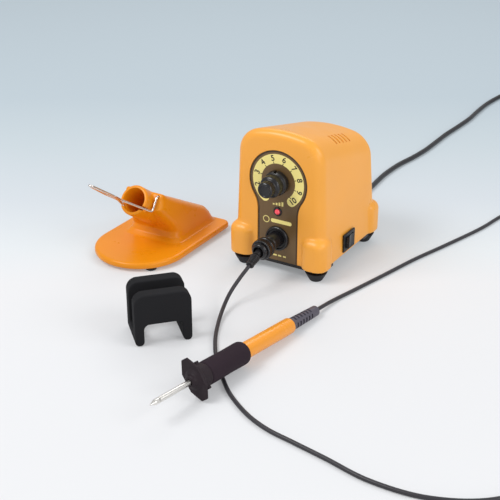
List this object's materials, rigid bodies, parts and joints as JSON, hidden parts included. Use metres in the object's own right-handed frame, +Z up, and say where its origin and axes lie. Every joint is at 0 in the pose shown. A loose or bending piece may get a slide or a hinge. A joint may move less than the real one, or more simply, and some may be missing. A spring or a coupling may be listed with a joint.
{
  "type": "soldering iron",
  "caption": "Pen-type hot iron with a heat-control station, corded pen, tube holder with wire clip, and foam rest.",
  "frame": {"origin": "middle of the set's footprint on the table, without the cords and what is on them", "axes": "+Z up, station's front faces -Y, set is longest along Y"},
  "size_m": [0.4307, 0.8326, 0.1187],
  "materials": {
    "orange_plastic": "satin yellow-orange plastic",
    "holder_plastic": "satin orange plastic",
    "pen_plastic": "glossy yellow-orange plastic",
    "dark_plastic": "dark satin plastic",
    "black_rubber": "matte black rubber",
    "steel_screw": "plated steel",
    "panel_plastic": "printed brown panel",
    "knob_plastic": "black moulded plastic",
    "lamp_red": "clear red lens",
    "socket_plastic": "black moulded plastic",
    "copper_winding": "enamelled copper",
    "board": "green circuit board",
    "aluminium": "plain aluminium",
    "mains_sheath": "black cord sheath",
    "iron_sheath": "dark grey cord sheath",
    "brass_blade": "plated brass",
    "chrome_rod": "polished steel",
    "wire_chrome": "chromed wire",
    "ceramic": "white ceramic",
    "grip_foam": "dark brown-black foam rubber",
    "relief_rubber": "grey rubber",
    "rest_foam": "charcoal foam rubber"
  },
  "bodies": {
    "station": {"casing": "orange_plastic", "base_plate": "dark_plastic", "foot_fl": "black_rubber", "foot_fr": "black_rubber", "foot_rl": "black_rubber", "foot_rr": "black_rubber", "foot_screw_fl": "steel_screw", "foot_screw_fr": "steel_screw", "foot_screw_rl": "steel_screw", "foot_screw_rr": "steel_screw", "front_panel": "panel_plastic", "pot_body": "dark_plastic", "pot_nut": "steel_screw", "lamp_holder": "dark_plastic", "lamp_lens": "lamp_red", "socket_body": "dark_plastic", "socket_flange": "socket_plastic", "switch_frame": "knob_plastic", "transformer_core": "steel_screw", "transformer_coil": "copper_winding", "board_post_fl": "aluminium", "board_post_fr": "aluminium", "board_post_rl": "aluminium", "board_post_rr": "aluminium", "circuit_board": "board", "heat_sink": "aluminium", "capacitor": "dark_plastic", "mains_bush": "black_rubber", "mains_cord": "mains_sheath", "mains_coil": "mains_sheath", "mains_tail": "mains_sheath", "mains_plug_body": "mains_sheath", "mains_blade_left": "brass_blade", "mains_blade_right": "brass_blade", "plug_shell": "socket_plastic", "plug_boot": "black_rubber", "iron_cord": "iron_sheath"},
    "dial": {"dial_knob": "knob_plastic", "pot_shaft": "steel_screw"},
    "rocker": {"switch_rocker": "knob_plastic"},
    "ring": {"plug_ring": "socket_plastic"},
    "pen": {"pen_rod": "chrome_rod", "heater_core": "ceramic", "finger_guard": "dark_plastic", "pen_grip": "grip_foam", "pen_handle": "pen_plastic", "pen_strain_relief": "relief_rubber"},
    "tip": {"pen_tip": "chrome_rod"},
    "holder": {"holder_body": "holder_plastic", "wire_clip": "wire_chrome", "holder_pad_fl": "black_rubber", "holder_pad_fr": "black_rubber", "holder_pad_rl": "black_rubber", "holder_pad_rr": "black_rubber"},
    "rest": {"rest_block": "rest_foam"}
  },
  "joints": [
    {"name": "dial_turn", "type": "hinge", "parent": "station", "child": "dial", "pos_m": [0.04573, 0.06088, 0.0783], "axis": [0, 1, 0], "range_deg": [-138, 138]},
    {"name": "rocker_tilt", "type": "hinge", "parent": "station", "child": "rocker", "pos_m": [0.08532, 0.10448, 0.021], "axis": [0, 0, 1], "range_deg": [-18, 0]},
    {"name": "ring_turn", "type": "hinge", "parent": "station", "child": "ring", "pos_m": [0.04573, 0.03818, 0.0304], "axis": [0, 1, 0], "range_deg": [0, 60]},
    {"name": "pen_lift", "type": "slide", "parent": "station", "child": "pen", "axis": [0, 0, 1], "range_m": [0, 0.06]},
    {"name": "tip_pull", "type": "slide", "parent": "pen", "child": "tip", "axis": [-0.116, -0.9908, 0.0697], "range_m": [0, 0.02]},
    {"name": "holder_lift", "type": "slide", "parent": "station", "child": "holder", "axis": [0, 0, 1], "range_m": [0, 0.06]},
    {"name": "rest_lift", "type": "slide", "parent": "station", "child": "rest", "axis": [0, 0, 1], "range_m": [0, 0.06]}
  ]
}
